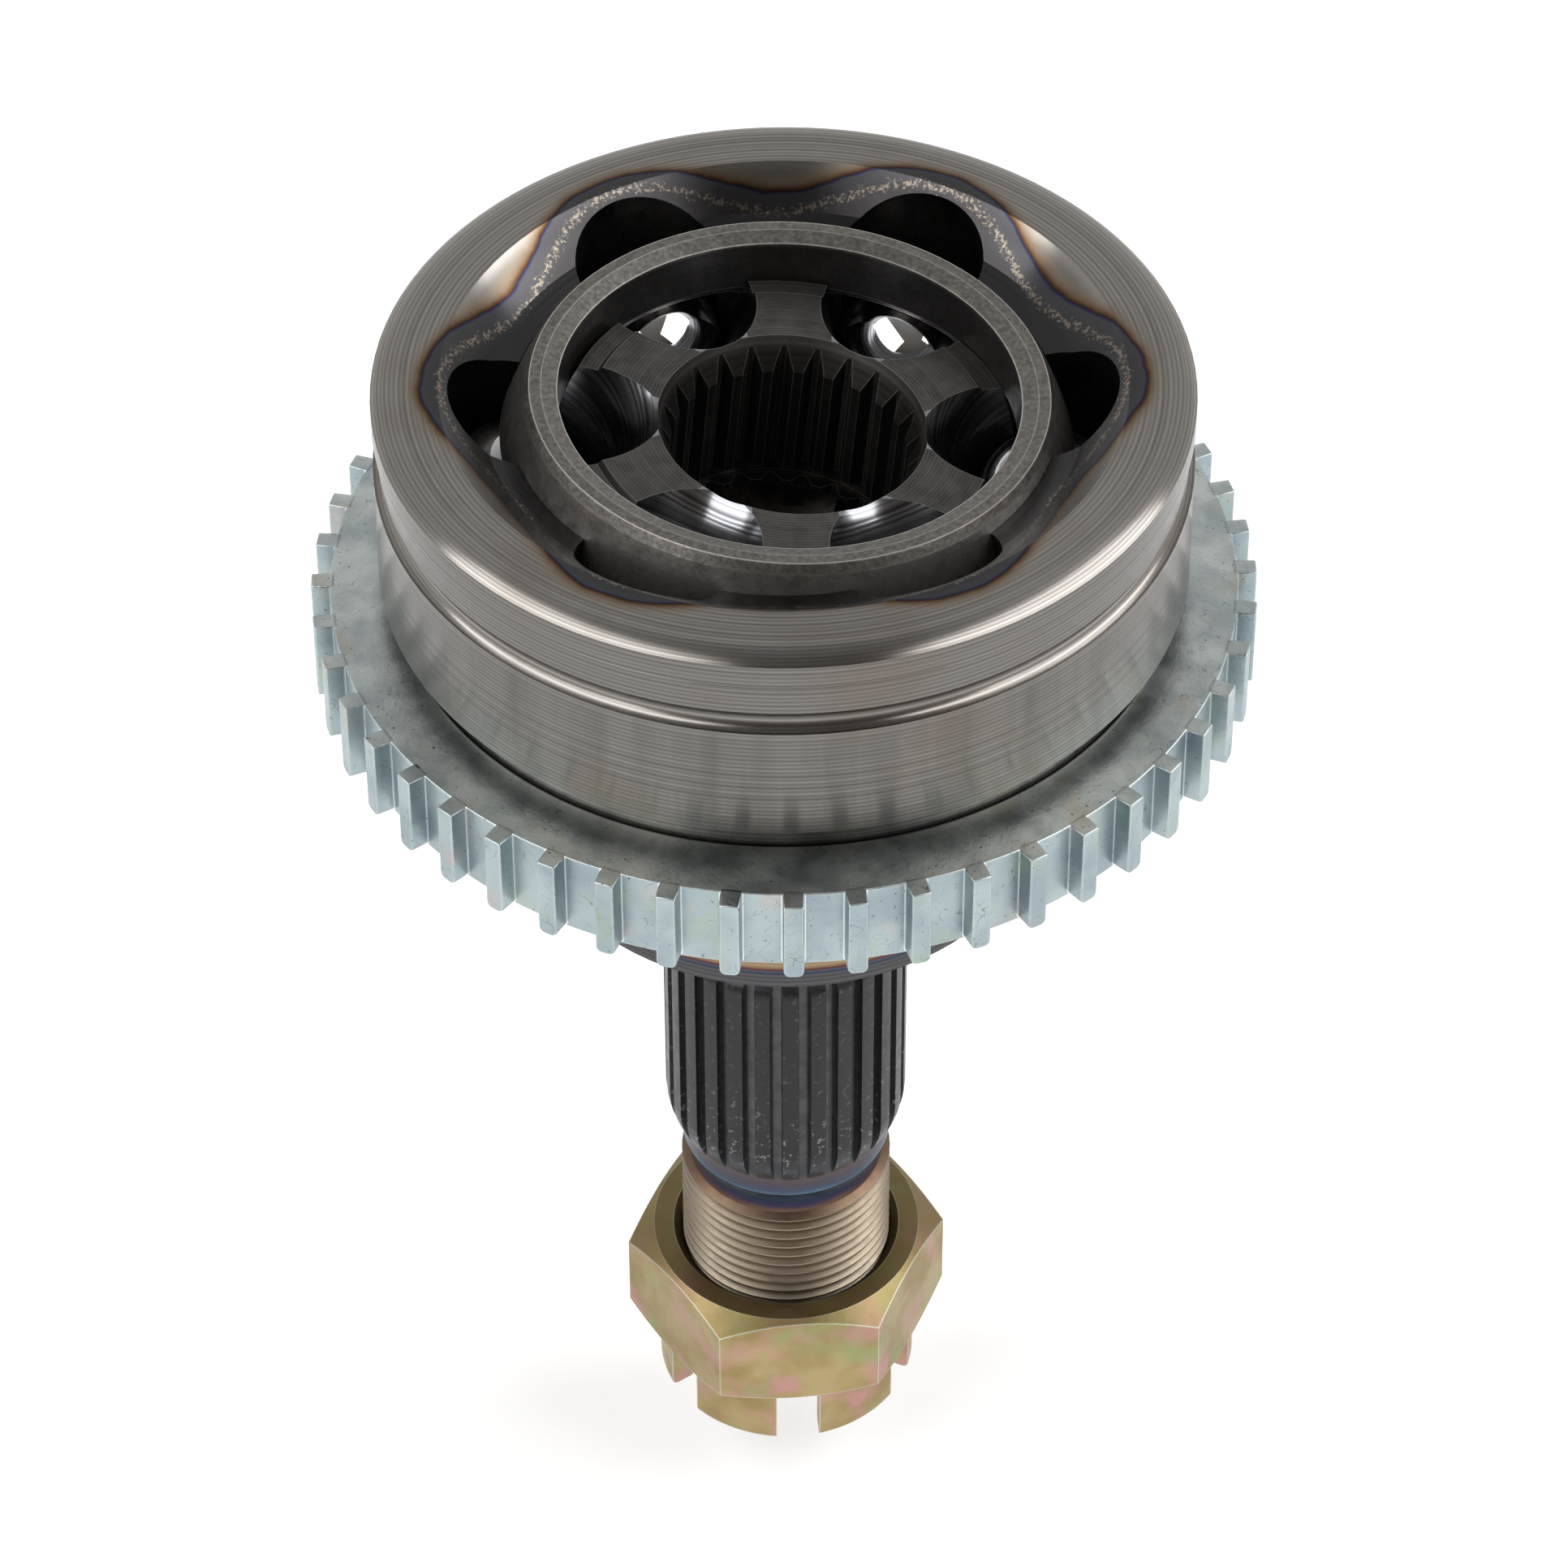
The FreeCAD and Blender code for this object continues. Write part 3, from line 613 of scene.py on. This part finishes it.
def ring_tree(material):
    """Node tree that builds the toothed ring from its sizes."""
    tree = bpy.data.node_groups.new("toothed_speed_ring", "GeometryNodeTree")
    sockets = tree.interface
    for name in ("Root radius", "Tooth height", "Tip width", "Root width", "Bore radius",
                 "Bore rounding", "Corner rounding", "Bottom", "Top", "Phase"):
        sockets.new_socket(name=name, in_out="INPUT", socket_type="NodeSocketFloat")
    sockets.new_socket(name="Teeth", in_out="INPUT", socket_type="NodeSocketInt")
    sockets.new_socket(name="Geometry", in_out="OUTPUT", socket_type="NodeSocketGeometry")
    start = tree.nodes.new("NodeGroupInput").outputs

    # Section of the ring's body: a rectangle whose bore edge is rounded at the top
    corners = []
    for across, up in (("Bore radius", "Bottom"), ("Bore radius", "Top"),
                       ("Root radius", "Top"), ("Root radius", "Bottom")):
        corners.append(add(tree, "ShaderNodeCombineXYZ", [start[across], None, start[up]]))
    section = add(tree, "GeometryNodeCurvePrimitiveQuadrilateral",
                  dict(zip(("Point 1", "Point 2", "Point 3", "Point 4"), corners)),
                  mode="POINTS")
    index = add(tree, "GeometryNodeInputIndex")
    rounded = add(tree, "FunctionNodeCompare", {2: index, 3: 1}, data_type="INT",
                  operation="EQUAL")
    rounding = calc(tree, "MULTIPLY", rounded, start["Bore rounding"])
    section = add(tree, "GeometryNodeFilletCurve",
                  {"Curve": section, "Count": 12, "Radius": rounding}, mode="POLY")
    points = add(tree, "GeometryNodeAttributeDomainSize", {"Geometry": section},
                 component="CURVE")
    rows = calc(tree, "ADD", points, 1.0)

    # The section swept round the axis, as a sheet rolled up and closed
    turns = 480
    sheet = add(tree, "GeometryNodeMeshGrid",
                {"Size X": 1.0, "Size Y": 1.0, "Vertices X": turns + 1, "Vertices Y": rows})
    spot = add(tree, "GeometryNodeInputPosition")
    across = add(tree, "ShaderNodeSeparateXYZ", [spot])
    share = calc(tree, "ADD", across.node.outputs["Y"], 0.5)
    row = calc(tree, "MULTIPLY", share, points)
    row = calc(tree, "ROUND", row)
    row = calc(tree, "MODULO", row, points)
    corner = add(tree, "GeometryNodeSampleIndex",
                 {"Geometry": section, "Value": spot, "Index": row},
                 data_type="FLOAT_VECTOR", domain="POINT")
    outward = add(tree, "ShaderNodeSeparateXYZ", [corner])
    angle = calc(tree, "MULTIPLY", across, 2 * math.pi)
    east = calc(tree, "COSINE", angle)
    east = calc(tree, "MULTIPLY", east, outward)
    north = calc(tree, "SINE", angle)
    north = calc(tree, "MULTIPLY", north, outward)
    rolled = add(tree, "ShaderNodeCombineXYZ", [east, north, outward.node.outputs["Z"]])
    body = add(tree, "GeometryNodeSetPosition", {"Geometry": sheet, "Position": rolled})
    body = add(tree, "GeometryNodeMergeByDistance", {"Geometry": body, "Distance": WELD})

    # One tooth: its outline with rounded lower corners, pushed outwards and tapered
    middle = calc(tree, "ADD", start["Top"], start["Bottom"])
    middle = calc(tree, "MULTIPLY", middle, 0.5)
    tall = calc(tree, "SUBTRACT", start["Top"], start["Bottom"])
    outline = add(tree, "GeometryNodeCurvePrimitiveQuadrilateral",
                  {"Width": start["Root width"], "Height": tall}, mode="RECTANGLE")
    flat_spot = add(tree, "ShaderNodeSeparateXYZ", [add(tree, "GeometryNodeInputPosition")])
    lower = calc(tree, "LESS_THAN", flat_spot.node.outputs["Y"], 0.0)
    rounding = calc(tree, "MULTIPLY", lower, start["Corner rounding"])
    outline = add(tree, "GeometryNodeFilletCurve",
                  {"Curve": outline, "Count": 5, "Radius": rounding}, mode="POLY")
    tooth = add(tree, "GeometryNodeFillCurve", {"Curve": outline}, mode="NGONS")
    sunk = 0.6 * MM
    reach = calc(tree, "ADD", start["Tooth height"], sunk)
    upwards = add(tree, "ShaderNodeCombineXYZ", [None, None, 1.0])
    pushed = add(tree, "GeometryNodeExtrudeMesh",
                 {"Mesh": tooth, "Offset": upwards, "Offset Scale": reach, "Individual": False})
    back = add(tree, "GeometryNodeFlipFaces", {"Mesh": tooth})
    tooth = add(tree, "GeometryNodeJoinGeometry")
    tree.links.new(pushed, tooth.node.inputs[0])
    tree.links.new(back, tooth.node.inputs[0])
    tooth = add(tree, "GeometryNodeMergeByDistance", {"Geometry": tooth, "Distance": WELD})
    spot = add(tree, "ShaderNodeSeparateXYZ", [add(tree, "GeometryNodeInputPosition")])
    depth = spot.node.outputs["Z"]
    outward = calc(tree, "ADD", depth, start["Root radius"])
    outward = calc(tree, "SUBTRACT", outward, sunk)
    narrow = calc(tree, "DIVIDE", start["Tip width"], start["Root width"])
    width = remap(tree, depth, sunk, reach, 1.0, narrow)
    side = calc(tree, "MULTIPLY", spot, width)
    high = calc(tree, "ADD", spot.node.outputs["Y"], middle)
    stood = add(tree, "ShaderNodeCombineXYZ", [outward, side, high])
    tooth = add(tree, "GeometryNodeSetPosition", {"Geometry": tooth, "Position": stood})

    # The teeth, turned about the axis to their places
    seats = add(tree, "GeometryNodePoints", {"Count": start["Teeth"]})
    step = calc(tree, "DIVIDE", 2 * math.pi, start["Teeth"])
    turn = calc(tree, "MULTIPLY_ADD", add(tree, "GeometryNodeInputIndex"), step, start["Phase"])
    turn = add(tree, "ShaderNodeCombineXYZ", [None, None, turn])
    teeth = add(tree, "GeometryNodeInstanceOnPoints",
                {"Points": seats, "Instance": tooth, "Rotation": turn})
    whole = add(tree, "GeometryNodeJoinGeometry")
    tree.links.new(teeth, whole.node.inputs[0])
    tree.links.new(body, whole.node.inputs[0])
    whole = add(tree, "GeometryNodeRealizeInstances", {"Geometry": whole})
    whole = add(tree, "GeometryNodeSetMaterial", {"Geometry": whole, "Material": material})
    whole = add(tree, "GeometryNodeSetShadeSmooth", {"Geometry": whole, "Shade Smooth": True})
    tree.links.new(whole, tree.nodes.new("NodeGroupOutput").inputs[0])
    return tree


class JOINT_OT_speed_ring(bpy.types.Operator):
    """Builds the toothed ring with the small roundings of its plating"""

    bl_idname = "joint.speed_ring"
    bl_label = "Speed ring"

    def execute(self, context):
        ring = context.scene.joint_ring
        material = zinc_plate()
        piece = bpy.data.objects.new("toothed_ring", bpy.data.meshes.new("toothed_ring"))
        context.scene.collection.objects.link(piece)
        tree = ring_tree(material)
        build = piece.modifiers.new("ring", "NODES")
        build.node_group = tree
        sizes = {"Root radius": ring.root_radius, "Tooth height": ring.tooth_height,
                 "Tip width": ring.tip_width, "Root width": ring.root_width,
                 "Bore radius": ring.bore_radius, "Bore rounding": ring.bore_rounding,
                 "Corner rounding": ring.corner_rounding, "Bottom": RING_LOW.z,
                 "Top": RING_HIGH.z, "Phase": ring.phase, "Teeth": ring.teeth}
        for socket in tree.interface.items_tree:
            if socket.name in sizes:
                build[socket.identifier] = sizes[socket.name]
        soften = piece.modifiers.new("soften", "BEVEL")
        soften.width = ring.edge_rounding
        soften.segments = 2
        soften.limit_method = "ANGLE"
        soften.angle_limit = math.radians(40)
        soften.harden_normals = False
        # The flat faces keep their own normals, so only the roundings shade softly
        even = piece.modifiers.new("even", "WEIGHTED_NORMAL")
        even.mode = "FACE_AREA"
        even.weight = 100
        bake_piece(piece)
        if len(piece.data.polygons) < ring.teeth * 10:
            raise RuntimeError("the toothed ring came out empty")
        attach(piece, "outer_race")
        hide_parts("speed_ring")
        return {"FINISHED"}


def bake_piece(piece):
    """Turns a piece's modifiers into a plain mesh with their normals."""
    graph = bpy.context.evaluated_depsgraph_get()
    mesh = bpy.data.meshes.new_from_object(piece.evaluated_get(graph))
    piece.modifiers.clear()
    piece.data = mesh


class JOINT_OT_cage(bpy.types.Operator):
    """Finishes the ball cage"""

    bl_idname = "joint.cage"
    bl_label = "Cage"

    def execute(self, context):
        assign_zones("cage", [phosphated_cage()])
        return {"FINISHED"}


class JOINT_OT_race(bpy.types.Operator):
    """Finishes the inner race and its grooves"""

    bl_idname = "joint.race"
    bl_label = "Inner race"

    def execute(self, context):
        bell = context.scene.joint_bell
        upright = face_centres("inner_race") @ np.array(Matrix.Rotation(-RACE_LEAN, 3, "Y")).T
        angle = np.arctan2(upright[:, 1], upright[:, 0]) - bell.first_groove
        step = 2 * math.pi / GROOVE_COUNT
        nearest = np.round(angle / step) * step + bell.first_groove
        # A groove face is a ball's radius and its clearance away from the ball's path
        path = np.stack([np.cos(nearest), np.sin(nearest), np.zeros(len(nearest))], axis=1)
        out = (upright * path).sum(axis=1)
        swing = np.hypot(out, upright[:, 2] + GROOVE_OFFSET)
        sideways = np.linalg.norm(upright[:, :2] - path[:, :2] * out[:, None], axis=1)
        from_path = np.hypot(swing - math.hypot(BALL_CIRCLE, GROOVE_OFFSET), sideways)
        zones = np.abs(from_path - GROOVE_RADIUS) < FACE_GAP
        assign_zones("inner_race", [ground_race(), milled_groove()], zones)
        return {"FINISHED"}


class JOINT_OT_balls(bpy.types.Operator):
    """Finishes the six balls"""

    bl_idname = "joint.balls"
    bl_label = "Balls"

    def execute(self, context):
        material = lapped_ball()
        for node in BALL_NODES:
            assign_zones(node, [material])
        return {"FINISHED"}


class JOINT_OT_hub_nut(bpy.types.Operator):
    """Finishes the slotted hub nut"""

    bl_idname = "joint.hub_nut"
    bl_label = "Hub nut"

    def execute(self, context):
        assign_zones("hub_nut", [yellow_zinc()])
        return {"FINISHED"}


def softbox(name, place, size, level, target):
    """Rectangular lamp of that radiance, aimed at a point."""
    lamp = bpy.data.lights.new(name, "AREA")
    lamp.shape = "RECTANGLE"
    lamp.size, lamp.size_y = size
    lamp.energy = level * math.pi * size[0] * size[1]
    box = bpy.data.objects.new(name, lamp)
    box.location = place
    box.rotation_euler = (Vector(target) - Vector(place)).to_track_quat("-Z", "Y").to_euler()
    box.visible_camera = False
    bpy.context.scene.collection.objects.link(box)


def lay_floor(scene, stage):
    """A matt white sheet, large enough to fill every view."""
    material, tree = new_material("matt_white_sheet")
    seen = add(tree, "ShaderNodeLightPath", out="Is Camera Ray")
    rays = seen.node.outputs
    for name in ("Is Glossy Ray", "Is Transmission Ray"):
        seen = calc(tree, "MAXIMUM", seen, rays[name])
    glow = calc(tree, "MULTIPLY", seen, stage.sheet_glow)
    close_material(tree, Base_Color=paint("#f4f4f4"), Roughness=0.9, Specular_IOR_Level=0.1,
                   Emission_Color=paint("#ffffff"), Emission_Strength=glow)
    reach = 40.0
    level = STUB_LOW.z - stage.floor_drop
    corners = [(-reach, -reach, level), (reach, -reach, level),
               (reach, reach, level), (-reach, reach, level)]
    floor = bpy.data.meshes.new("floor")
    floor.from_pydata(corners, [], [(0, 1, 2, 3)])
    floor.materials.append(material)
    sheet = bpy.data.objects.new("floor", floor)
    scene.collection.objects.link(sheet)


def build_room(scene, stage):
    """Room: white near the floor, grey behind and above, and dark above the camera."""
    world = bpy.data.worlds.new("studio_room")
    scene.world = world
    world.use_nodes = True
    tree = world.node_tree
    tree.nodes.clear()
    ways = add(tree, "ShaderNodeSeparateXYZ",
               [add(tree, "ShaderNodeTexCoord", out="Generated")])
    up = ways.node.outputs["Z"]
    behind = add(tree, "ShaderNodeMapRange", [ways.node.outputs["Y"], -0.25, 0.3, 0.0, 1.0],
                 interpolation_type="SMOOTHSTEP")
    back_wall = add(tree, "ShaderNodeValToRGB", [up], stops=[
        (0.0, "#ffffff"), (0.12, "#f6f6f6"), (0.35, "#dddddd"), (0.75, "#cccccc"),
        (0.95, "#999999"), (1.0, "#8c8c8c")])
    front_wall = add(tree, "ShaderNodeValToRGB", [up], stops=[
        (0.0, "#ffffff"), (0.10, "#f2f2f2"), (0.25, "#74706c"), (0.55, "#463e37"),
        (0.9, "#76736f"), (1.0, "#8c8c8c")])
    walls = blend_colour(tree, behind, front_wall, back_wall)
    light = add(tree, "ShaderNodeBackground", {"Color": walls, "Strength": stage.room_light})
    add(tree, "ShaderNodeOutputWorld", [light])


def place_camera(scene, stage, target):
    """Camera with the photograph's view of that point."""
    camera = bpy.data.cameras.new("camera")
    camera.lens = stage.lens
    camera.sensor_width = 36.0
    camera.clip_start = 0.01
    camera.clip_end = 200.0
    camera.shift_x = -1 / PHOTO_WIDTH
    eye = bpy.data.objects.new("camera", camera)
    back = Vector((0, -math.cos(stage.elevation), math.sin(stage.elevation)))
    look = (-back).to_track_quat("-Z", "Y").to_matrix().to_4x4()
    eye.matrix_world = (Matrix.Translation(Vector(target) + back * stage.distance)
                        @ look @ Matrix.Rotation(stage.roll, 4, "Z"))
    scene.collection.objects.link(eye)
    scene.camera = eye


class JOINT_OT_stage(bpy.types.Operator):
    """Sets up the floor, the studio light and the camera"""

    bl_idname = "joint.stage"
    bl_label = "Stage"

    def execute(self, context):
        scene = context.scene
        stage = scene.joint_stage
        target = (0, 0, stage.target_height)
        lay_floor(scene, stage)
        build_room(scene, stage)
        for name, place, level in (("left_softbox", (-0.78, -0.36, 0.80), 3.0),
                                   ("right_softbox", (0.86, -0.12, 0.78), 3.3)):
            softbox(name, place, (1.25, 0.95), level, target)
        place_camera(scene, stage, target)
        scene.view_settings.view_transform = "Standard"
        return {"FINISHED"}


class JOINT_PT_panel(bpy.types.Panel):
    """Lists the joint's pieces and sizes"""

    bl_idname = "JOINT_PT_panel"
    bl_label = "Drive shaft joint"
    bl_space_type = "VIEW_3D"
    bl_region_type = "UI"
    bl_category = "Joint"

    def draw(self, context):
        for operator in OPERATORS:
            self.layout.operator(operator.bl_idname)
        for group in (context.scene.joint_bell, context.scene.joint_ring,
                      context.scene.joint_stage):
            box = self.layout.box()
            for name in group.bl_rna.properties.keys():
                if name not in ("rna_type", "name"):
                    box.prop(group, name)


OPERATORS = (JOINT_OT_bell, JOINT_OT_speed_ring, JOINT_OT_cage, JOINT_OT_race, JOINT_OT_balls,
             JOINT_OT_hub_nut, JOINT_OT_stage)
GROUPS = {"joint_bell": BellSettings, "joint_ring": RingSettings, "joint_stage": StageSettings}


def register():
    for group in GROUPS.values():
        bpy.utils.register_class(group)
    for operator in OPERATORS:
        bpy.utils.register_class(operator)
    bpy.utils.register_class(JOINT_PT_panel)
    for name, group in GROUPS.items():
        setattr(bpy.types.Scene, name, bpy.props.PointerProperty(type=group))


def unregister():
    for name in GROUPS:
        delattr(bpy.types.Scene, name)
    bpy.utils.unregister_class(JOINT_PT_panel)
    for operator in OPERATORS:
        bpy.utils.unregister_class(operator)
    for group in GROUPS.values():
        bpy.utils.unregister_class(group)


def main():
    """Registers the add-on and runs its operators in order."""
    register()
    bpy.ops.joint.bell()
    bpy.ops.joint.speed_ring()
    bpy.ops.joint.cage()
    bpy.ops.joint.race()
    bpy.ops.joint.balls()
    bpy.ops.joint.hub_nut()
    bpy.ops.joint.stage()


if __name__ == "__main__":
    main()
